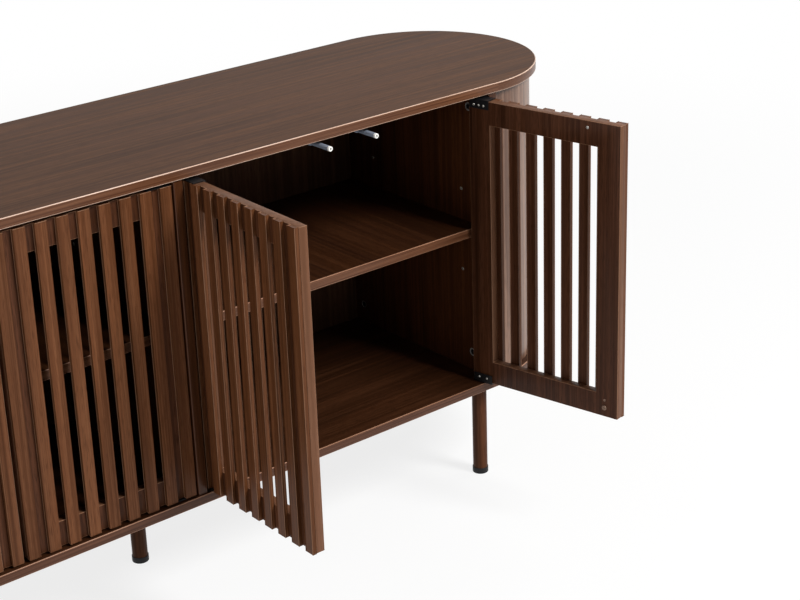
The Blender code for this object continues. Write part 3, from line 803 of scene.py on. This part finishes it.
for door in door_names:
    hand = door_hands[door]
    shape = bmesh.new()
    outer = [(on_door(hand, x), z) for x in (0, door_width) for z in (door_low, door_high)]
    inner = [(on_door(hand, x), z) for x in (stile_width, door_width - stile_width)
             for z in (door_low + RAIL_HEIGHT, door_high - RAIL_HEIGHT)]
    add_frame(shape, outer, inner, door_places[door])
    # The face between the slats takes the darker inside film: painted shade in the recesses.
    finishes = [frame_finish, arris_highlight_finish, inner_shaded_finish, inner_shaded_finish]
    leaf = piece(door + "_frame", shape, finishes, door)
    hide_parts(door + "_hinge_stile", door + "_free_stile")


# Door slats
# Nine upright slats are glued and pinned on the face of each frame, one flush with either edge.
# Each is wrapped in its own stretch of film, so neighbours differ, and the arrises are paler, partly
# film drawn thin and partly painted highlight.
SLAT_COUNT = 9
SLAT_WIDTH = 0.0178
SLAT_TONES = ("#482814", "#623b23", "#7c5237")
SLAT_ROUGHNESS = 0.36
slat_pitch = (door_width - SLAT_WIDTH) / (SLAT_COUNT - 1)
slat_finish = walnut_film("walnut_film_on_slats", GRAIN_Z, SLAT_TONES, SLAT_ROUGHNESS, band_mm=14,
                          streak_mm=2.6, figure=0.5, cut_apart=True)


def add_slat(shape, low, high, place):
    """Adds a slat from two opposite corners."""
    corners = bmesh.ops.create_cube(shape, size=1.0)["verts"]
    low, high = Vector(low), Vector(high)
    for corner in corners:
        corner.co = place @ ((low + high) / 2 + corner.co * (high - low))
    edges = list({edge for corner in corners for edge in corner.link_edges})
    finish_strip(shape, corners, edges, place)


for door in door_names:
    hand = door_hands[door]
    shape = bmesh.new()
    for i in range(SLAT_COUNT):
        low = (on_door(hand, i * slat_pitch), slat_face, door_low)
        high = (on_door(hand, i * slat_pitch + SLAT_WIDTH), frame_face, door_high)
        add_slat(shape, low, high, door_places[door])
    finishes = [slat_finish, arris_highlight_finish, inner_shaded_finish, slat_finish]
    slats = piece(door + "_slats", shape, finishes, door)
    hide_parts(door + "_slat_panel")


# Hinge plates
# An angle plate of folded steel carries the pivot pin at the top and bottom corner of each door,
# over the door's end and down its inner face. It is powder coated black, with a fine orange peel.
POWDER_BLACK = ("#0b0b0c", "#151517")
ORANGE_PEEL_MM = 1.4
PEEL_DEPTH = 0.0001
PEEL_RELIEF = 0.3
POWDER_ROUGHNESS = (0.34, 0.48)
POWDER_GLOSS = 0.25
POWDER_IOR = 1.5


def powder_coat():
    """Black powder coat on steel: satin, with the shallow orange peel of the baked powder."""
    made, tree = start_material("black_powder_coated_steel")
    place = add(tree, "TexCoord", {}).outputs["Object"]
    peel = add(tree, "TexNoise", {"Vector": place, "Scale": 1000 / ORANGE_PEEL_MM, "Detail": 1.0})
    dark, light = (linear(tone) for tone in POWDER_BLACK)
    colour = add(tree, "Mix", {0: peel.outputs["Fac"], 6: dark, 7: light}, data_type="RGBA")
    rough = add(tree, "MapRange", {"Value": peel.outputs["Fac"], "To Min": POWDER_ROUGHNESS[0],
                                   "To Max": POWDER_ROUGHNESS[1]})
    bump = add(tree, "Bump", {"Height": peel.outputs["Fac"], "Strength": PEEL_RELIEF, "Distance": PEEL_DEPTH})
    surface = add(tree, "BsdfPrincipled", {"Base Color": colour.outputs[2], "Roughness": rough.outputs[0],
                                           "Normal": bump.outputs[0], "IOR": POWDER_IOR,
                                           "Specular IOR Level": POWDER_GLOSS})
    add(tree, "OutputMaterial", {"Surface": surface.outputs[0]})
    return made


powder_finish = powder_coat()
for door in door_names:
    for end in ("_top_hinge", "_bottom_hinge"):
        nodes[door + end].data.materials[0] = powder_finish


# Hinge screws
# Three nickel-plated screws hold each top plate to the stile and two hold each bottom plate. Their
# pan heads stand proud of the black plate and catch the light.
PLATE_START = 0.002
PLATE_LENGTH = 0.038
PLATE_FACE = 0.0019
SCREW_DROP = 0.0078
# A head has a radius, a rise and an ease, and a slot has a reach, a half width and a depth.
SCREW_HEAD = (0.0020, 0.0014, 0.0008)
SCREW_SLOT = (0.0015, 0.0004, 0.0008)
# Where the screws sit along the plate, as shares of its length.
TOP_SCREWS = (0.24, 0.50, 0.76)
BOTTOM_SCREWS = (0.30, 0.72)


def add_inner_head(shape, door, from_edge, height, stand, head, slot):
    """Adds a cross head on a door's inner face, at a distance from its hinge edge and a height."""
    seat = Vector((on_door(door_hands[door], from_edge), inner_face + stand, height))
    place = door_places[door] @ Matrix.Translation(seat) @ Matrix.Rotation(-math.pi / 2, 4, "X")
    add_cross_head(shape, *head, slot, place)


for door in door_names:
    shape = bmesh.new()
    for height, shares in ((door_high - SCREW_DROP, TOP_SCREWS), (door_low + SCREW_DROP, BOTTOM_SCREWS)):
        for share in shares:
            from_edge = PLATE_START + share * PLATE_LENGTH
            add_inner_head(shape, door, from_edge, height, PLATE_FACE, SCREW_HEAD, SCREW_SLOT)
    piece(door + "_hinge_screws", shape, [nickel_finish], door)


# Strikers and frame screws
# A bright striker screw stands in each door's top rail, and a larger screw with a smaller one above
# it fixes the bottom rail at the free corner. The striker is nickel plated, and the corner screws are
# bronzed, so that they sink into the film.
BRONZE = ("#5c4637", "#8d7464")
STRIKER_FROM_FREE = 0.062
STRIKER_DROP = 0.0115
STRIKER_HEAD = (0.0025, 0.0012, 0.0008)
STRIKER_SLOT = (0.0014, 0.0004, 0.0008)
CORNER_FROM_FREE = 0.025
CORNER_RISE = 0.016
CORNER_HEAD = (0.0045, 0.0014, 0.0009)
CORNER_SLOT = (0.0024, 0.0005, 0.0009)
SMALL_ABOVE = 0.014
SMALL_HEAD = (0.0022, 0.0006, 0.0004)
SMALL_SLOT = (0.0012, 0.0003, 0.0004)
bronze_finish = plated_steel("bronzed_steel", BRONZE)
for door in door_names:
    striker_edge = door_width - STRIKER_FROM_FREE
    striker_height = door_high - STRIKER_DROP
    shape = bmesh.new()
    add_inner_head(shape, door, striker_edge, striker_height, 0, STRIKER_HEAD, STRIKER_SLOT)
    piece(door + "_striker_screw", shape, [nickel_finish], door)
    shape = bmesh.new()
    corner_edge = door_width - CORNER_FROM_FREE
    corner_height = door_low + CORNER_RISE
    add_inner_head(shape, door, corner_edge, corner_height, 0, CORNER_HEAD, CORNER_SLOT)
    add_inner_head(shape, door, corner_edge, corner_height + SMALL_ABOVE, 0, SMALL_HEAD, SMALL_SLOT)
    piece(door + "_corner_screws", shape, [bronze_finish], door)


# Floor
# A wide pale studio floor, not part of the sideboard. It is matt white and keeps the soft shadow
# under the legs, and it fades into the white background before its edge.
FLOOR_REACH = 9.0
FLOOR_STEPS = 96
FLOOR_WHITE = "#f4f4f3"
FADE_START = 1.6
FADE_END = 3.4
SHADOW_SHARE = 0.18
FLOOR_MOTTLE_MM = 140
FLOOR_ROUGHNESS = (0.85, 0.95)


def background_rays(tree):
    """The output that is 1 for rays which show the white background: seen, mirrored or through glass."""
    sight = add(tree, "LightPath", {}).outputs
    seen = add(tree, "Math", {0: sight["Is Camera Ray"], 1: sight["Is Glossy Ray"]}, operation="MAXIMUM")
    seen = add(tree, "Math", {0: seen.outputs[0], 1: sight["Is Transmission Ray"]}, operation="MAXIMUM")
    return seen.outputs[0]


def studio_floor():
    """Matt white floor paint, which goes over to plain white away from the object."""
    made, tree = start_material("matt_white_floor")
    place = add(tree, "TexCoord", {}).outputs["Object"]
    away = add(tree, "VectorMath", {0: place}, operation="LENGTH")
    fade = add(tree, "MapRange", {"Value": away.outputs["Value"], "From Min": FADE_START,
                                  "From Max": FADE_END, "To Min": 1 - SHADOW_SHARE, "To Max": 1.0},
               interpolation_type="SMOOTHSTEP")
    mottle = add(tree, "TexNoise", {"Vector": place, "Scale": 1000 / FLOOR_MOTTLE_MM, "Detail": 3.0})
    rough = add(tree, "MapRange", {"Value": mottle.outputs["Fac"], "To Min": FLOOR_ROUGHNESS[0],
                                   "To Max": FLOOR_ROUGHNESS[1]})
    paint = add(tree, "BsdfPrincipled", {"Base Color": linear(FLOOR_WHITE), "Roughness": rough.outputs[0],
                                         "Specular IOR Level": 0.0})
    white = add(tree, "Emission", {"Color": (1, 1, 1, 1), "Strength": 1.0})
    share = add(tree, "Math", {0: background_rays(tree), 1: fade.outputs[0]}, operation="MULTIPLY")
    both = add(tree, "MixShader", {0: share.outputs[0], 1: paint.outputs[0], 2: white.outputs[0]})
    add(tree, "OutputMaterial", {"Surface": both.outputs[0]})
    return made


shape = bmesh.new()
ring = [shape.verts.new((x, y, 0)) for x, y in arc((0, 0), FLOOR_REACH, 0, 360, FLOOR_STEPS)[:-1]]
shape.faces.new(ring)
mesh = bpy.data.meshes.new("studio_floor")
shape.to_mesh(mesh)
shape.free()
mesh.materials.append(studio_floor())
floor = bpy.data.objects.new("studio_floor", mesh)
bpy.context.scene.collection.objects.link(floor)


# Studio light
# A large soft box stands high in front on the right, so that an open door shades what is to its left.
# Weaker ones light the doors from the left, the round end from the right and the top from behind.
# The white room gives a low fill.
ROOM_FILL = 0.12
# Each lamp has its place, what it faces, its side and its watts.
KEY = ((2.0, -4.6, 5.0), (0.2, 0.0, 0.45), 2.0, 480)
LEFT = ((-4.0, -1.6, 1.4), (0.1, -0.3, 0.5), 1.6, 45)
SIDE = ((3.0, -0.3, 2.7), (0.7, 0.0, 0.4), 1.4, 20)
TOP_LAMP = ((-0.3, 0.9, 3.2), (0.2, 0.0, 0.7), 2.2, 6)


def soft_box(name, place, aim, side, watts):
    """A square soft box that faces its aim."""
    light = bpy.data.lights.new(name, "AREA")
    light.shape = "SQUARE"
    light.size = side
    light.energy = watts
    lamp = bpy.data.objects.new(name, light)
    bpy.context.scene.collection.objects.link(lamp)
    lamp.location = place
    lamp.rotation_euler = (Vector(aim) - Vector(place)).to_track_quat("-Z", "Y").to_euler()


soft_box("key_soft_box", *KEY)
soft_box("left_soft_box", *LEFT)
soft_box("side_soft_box", *SIDE)
soft_box("top_soft_box", *TOP_LAMP)
room = bpy.data.worlds.new("white_room")
bpy.context.scene.world = room
room.use_nodes = True
tree = room.node_tree
tree.nodes.clear()
level = add(tree, "MapRange", {"Value": background_rays(tree), "To Min": ROOM_FILL, "To Max": 1.0})
background = add(tree, "Background", {"Color": (1, 1, 1, 1), "Strength": level.outputs[0]})
add(tree, "OutputWorld", {"Surface": background.outputs[0]})


# Camera
# The photograph was taken from the front left at standing height with a long lens. It looks 39
# degrees to the right and 23 down, is rolled by two, and frames the right part of the sideboard.
CAMERA_PLACE = (-1.3973, -2.4336, 1.6121)
CAMERA_HEADING = 39.188
CAMERA_TILT = -22.588
CAMERA_ROLL = -1.996
SENSOR_MM = 36.0
FOCAL_PIXELS = 1872.9
PHOTO_WIDTH = 800
lens = bpy.data.cameras.new("photo_camera")
lens.sensor_width = SENSOR_MM
lens.lens = FOCAL_PIXELS * SENSOR_MM / PHOTO_WIDTH
camera = bpy.data.objects.new("photo_camera", lens)
bpy.context.scene.collection.objects.link(camera)
heading = Matrix.Rotation(math.radians(-CAMERA_HEADING), 4, "Z")
tilt = Matrix.Rotation(math.radians(90 + CAMERA_TILT), 4, "X")
roll = Matrix.Rotation(math.radians(CAMERA_ROLL), 4, "Z")
camera.matrix_world = Matrix.Translation(CAMERA_PLACE) @ heading @ tilt @ roll
bpy.context.scene.camera = camera
bpy.context.scene.view_settings.view_transform = "Standard"
